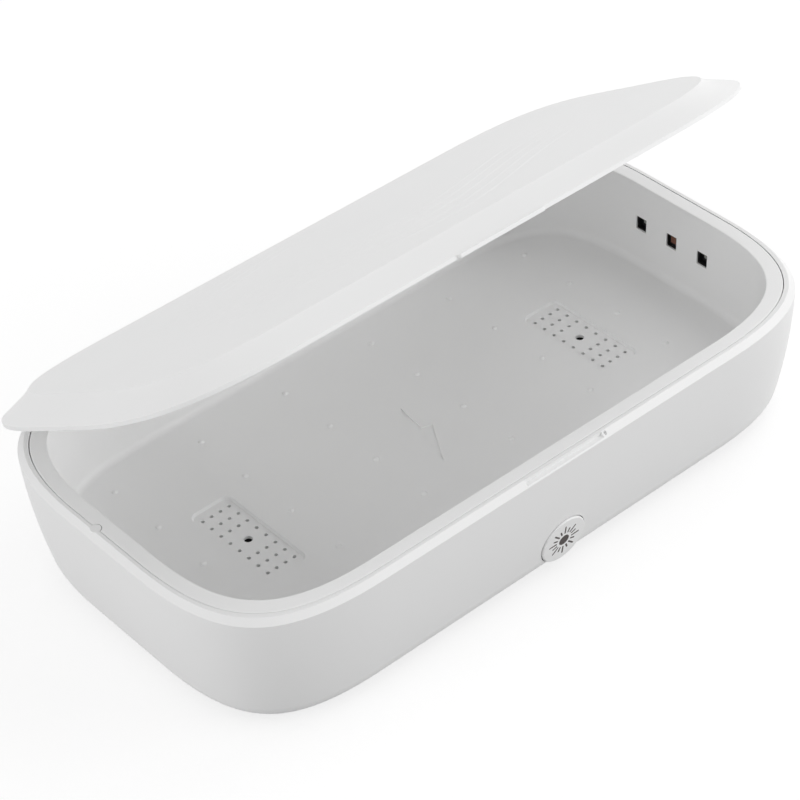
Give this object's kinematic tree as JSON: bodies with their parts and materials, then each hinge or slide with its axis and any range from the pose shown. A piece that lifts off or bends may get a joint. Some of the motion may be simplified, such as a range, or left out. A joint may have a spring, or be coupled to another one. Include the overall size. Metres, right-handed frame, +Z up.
{
  "type": "uv sanitizer box for phones",
  "caption": "Rounded white box with a hinged crowned lid standing open, an inner tray with ultraviolet lamps in its end walls and perforated scent plates, and a round front button.",
  "frame": {"origin": "centre of the plane that the feet rest on, midway along the base", "axes": "+X along the length, +Y from the button side to the hinge side, +Z up"},
  "size_m": [0.2124, 0.1232, 0.1016],
  "materials": {
    "white_shell": "satin",
    "white_tray": "satin",
    "white_lid": "satin",
    "white_inner": "satin",
    "button_white": "satin",
    "symbol_dark": "matte",
    "clear_smoke": "gloss",
    "hinge_plastic": "satin",
    "steel": "satin",
    "foot_rubber": "matte",
    "bumper_rubber": "matte",
    "board_green": "satin",
    "board_white": "satin",
    "chip_black": "satin",
    "uvc_lamp": "satin",
    "uva_lamp": "satin",
    "coil_copper": "satin",
    "ferrite": "matte",
    "magnet": "gloss",
    "wire_white": "matte",
    "ribbon": "satin",
    "pad_felt": "matte"
  },
  "bodies": {
    "base": {"aroma_cup_left": "white_inner", "aroma_cup_right": "white_inner", "aroma_pad_left": "pad_felt", "aroma_pad_right": "pad_felt", "base_shell": "white_shell", "board_parts": "chip_black", "board_ribbon": "ribbon", "board_screws": "steel", "bracket_screws": "steel", "button_board": "board_green", "button_switch": "chip_black", "case_screws": "steel", "charging_coil": "coil_copper", "coil_holder": "white_inner", "coil_screws": "steel", "ferrite_plate": "ferrite", "hinge_bracket_left": "steel", "hinge_bracket_right": "steel", "hinge_pins": "steel", "indicator_pin": "clear_smoke", "inner_tray": "white_tray", "lamp_lead_left": "wire_white", "lamp_lead_right": "wire_white", "lid_sensor": "chip_black", "main_board": "board_green", "rubber_feet": "foot_rubber", "sensor_lead": "wire_white", "usb_socket": "steel", "uv_board_left": "board_white", "uv_board_right": "board_white", "uva_lamp_left": "uva_lamp", "uva_lamp_right": "uva_lamp", "uvc_lamps_left": "uvc_lamp", "uvc_lamps_right": "uvc_lamp"},
    "lid": {"lid_shell": "white_lid", "lid_liner": "white_inner", "lid_screws": "steel", "lid_magnet": "magnet", "lid_bumpers": "bumper_rubber", "hinge_arm_left": "hinge_plastic", "hinge_arm_right": "hinge_plastic"},
    "button": {"button_cap": "button_white", "button_symbol": "symbol_dark"}
  },
  "joints": [
    {"name": "lid_hinge", "type": "hinge", "parent": "base", "child": "lid", "pos_m": [0, 0.05585, 0.032], "axis": [-1, 0, 0], "range_deg": [-31.7, 48.3]},
    {"name": "button_press", "type": "slide", "parent": "base", "child": "button", "axis": [0, 0.9837, 0.1797], "range_m": [0, 0.0005], "stiffness_N_per_m": 300, "springref_m": -0.0005}
  ]
}
